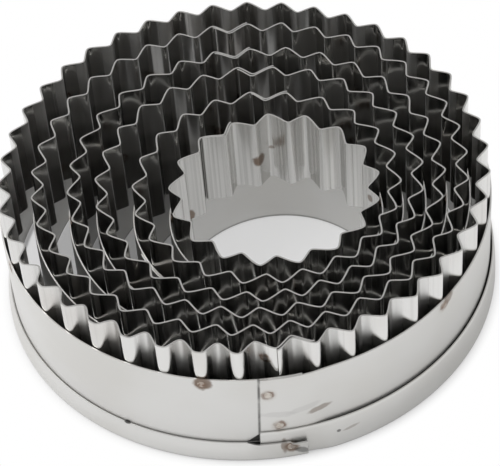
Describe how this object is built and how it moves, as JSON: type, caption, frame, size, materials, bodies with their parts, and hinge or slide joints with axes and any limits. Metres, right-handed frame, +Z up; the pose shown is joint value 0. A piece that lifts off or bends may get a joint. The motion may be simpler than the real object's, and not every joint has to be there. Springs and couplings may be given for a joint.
{
  "type": "fluted biscuit cutter set",
  "caption": "Nested round fluted biscuit cutters in bright sheet steel, each a crimped cutting strip spot-welded inside a plain band with a folded hem, lifting out separately.",
  "frame": {"origin": "centre of the largest cutter at the surface that the cutters stand on", "axes": "+Z up along the cutters' axes towards the cutting edges, -Y towards the front, where the largest band's seam is, +X to the right"},
  "size_m": [0.0928, 0.0928, 0.028],
  "materials": {
    "band_steel": "smooth rolled stainless sheet, faintly scratched",
    "fluted_steel": "smooth crimped stainless sheet with bright cut edges",
    "weld_mark": "spot weld with a brown heat tint round it"
  },
  "bodies": {
    "cutter_90": {"collar_90": "band_steel", "blade_90": "fluted_steel", "blade_welds_90": "weld_mark", "seam_welds_90": "weld_mark"},
    "cutter_80": {"collar_80": "band_steel", "blade_80": "fluted_steel", "blade_welds_80": "weld_mark", "seam_welds_80": "weld_mark"},
    "cutter_70": {"collar_70": "band_steel", "blade_70": "fluted_steel", "blade_welds_70": "weld_mark", "seam_welds_70": "weld_mark"},
    "cutter_60": {"collar_60": "band_steel", "blade_60": "fluted_steel", "blade_welds_60": "weld_mark", "seam_welds_60": "weld_mark"},
    "cutter_50": {"collar_50": "band_steel", "blade_50": "fluted_steel", "blade_welds_50": "weld_mark", "seam_welds_50": "weld_mark"},
    "cutter_40": {"collar_40": "band_steel", "blade_40": "fluted_steel", "blade_welds_40": "weld_mark", "seam_welds_40": "weld_mark"}
  },
  "joints": [
    {"name": "lift_80", "type": "slide", "parent": "cutter_90", "child": "cutter_80", "axis": [0, 0, 1], "range_m": [0, 0.03]},
    {"name": "lift_70", "type": "slide", "parent": "cutter_90", "child": "cutter_70", "axis": [0, 0, 1], "range_m": [0, 0.06]},
    {"name": "lift_60", "type": "slide", "parent": "cutter_90", "child": "cutter_60", "axis": [0, 0, 1], "range_m": [0, 0.09]},
    {"name": "lift_50", "type": "slide", "parent": "cutter_90", "child": "cutter_50", "axis": [0, 0, 1], "range_m": [0, 0.12]},
    {"name": "lift_40", "type": "slide", "parent": "cutter_90", "child": "cutter_40", "axis": [0, 0, 1], "range_m": [0, 0.15]}
  ]
}
